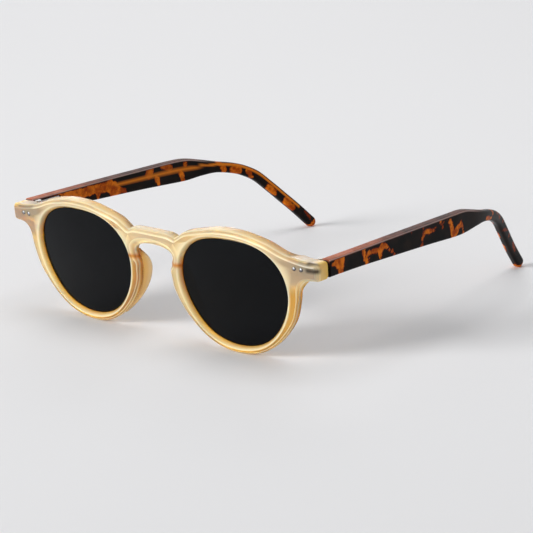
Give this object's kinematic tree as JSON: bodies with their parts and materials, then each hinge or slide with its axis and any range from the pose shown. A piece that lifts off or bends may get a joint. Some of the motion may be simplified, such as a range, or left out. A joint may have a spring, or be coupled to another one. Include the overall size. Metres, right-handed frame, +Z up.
{
  "type": "sunglasses",
  "caption": "Round-eye acetate sunglasses with a keyhole bridge, dark lenses, bonded nose pads and folding tortoise temples on riveted hinges.",
  "frame": {"origin": "middle of the footprint, at the level that the rims and temple tips rest on", "axes": "+X to the wearer's left, the lenses face -Y, the temples run back along +Y, +Z up"},
  "size_m": [0.146, 0.148, 0.0455],
  "materials": {
    "honey_acetate": "satin translucent honey acetate",
    "tinted_lens": "polished, near-black tint",
    "tortoise_acetate": "polished dark tortoise acetate with amber patches",
    "hinge_steel": "satin nickel silver",
    "core_metal": "drawn nickel-silver wire"
  },
  "bodies": {
    "front": {"front_frame": "honey_acetate", "lens_left": "tinted_lens", "lens_right": "tinted_lens", "nose_pad_left": "honey_acetate", "nose_pad_right": "honey_acetate", "front_hinge_left": "hinge_steel", "front_hinge_right": "hinge_steel", "inner_rivet_left": "hinge_steel", "outer_rivet_left": "hinge_steel", "inner_rivet_right": "hinge_steel", "outer_rivet_right": "hinge_steel", "hinge_screw_left": "hinge_steel", "hinge_screw_right": "hinge_steel"},
    "left_temple": {"temple_left": "tortoise_acetate", "temple_hinge_left": "hinge_steel", "core_wire_left": "core_metal"},
    "right_temple": {"temple_right": "tortoise_acetate", "temple_hinge_right": "hinge_steel", "core_wire_right": "core_metal"}
  },
  "joints": [
    {"name": "left_fold", "type": "hinge", "parent": "front", "child": "left_temple", "pos_m": [0.06785, -0.06113, 0.03496], "axis": [0, 0, 1], "range_deg": [0, 83]},
    {"name": "right_fold", "type": "hinge", "parent": "front", "child": "right_temple", "pos_m": [-0.06785, -0.06113, 0.03496], "axis": [0, 0, -1], "range_deg": [0, 70]}
  ]
}
